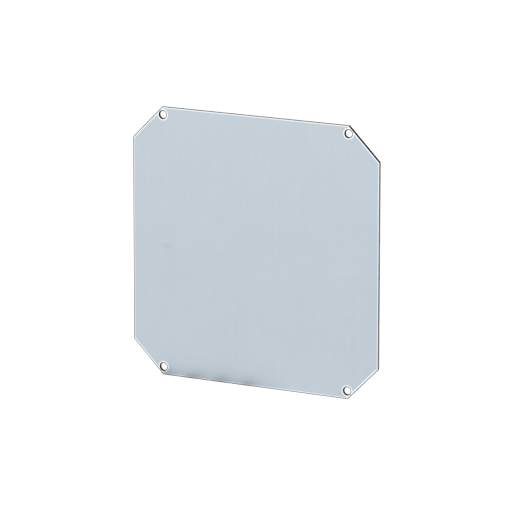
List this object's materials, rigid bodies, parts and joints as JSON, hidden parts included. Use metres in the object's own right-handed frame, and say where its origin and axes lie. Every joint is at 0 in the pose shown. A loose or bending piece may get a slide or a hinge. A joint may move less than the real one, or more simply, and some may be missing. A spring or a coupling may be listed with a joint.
{
  "type": "mounting plate",
  "caption": "Flat square mounting plate of galvanised sheet steel with corners cut at 45 degrees and a fixing hole beside each cut.",
  "frame": {"origin": "centre of the plate's back surface, which lies on z = 0", "axes": "+Z out of the front surface, the one that equipment is fastened to; +X to the plate's right and +Y to its top edge as it hangs"},
  "size_m": [0.25, 0.25, 0.002],
  "materials": {
    "galvanised_sheet": "skin-passed galvanised, satin"
  },
  "bodies": {
    "root": {"mounting_plate": "galvanised_sheet"}
  },
  "joints": []
}
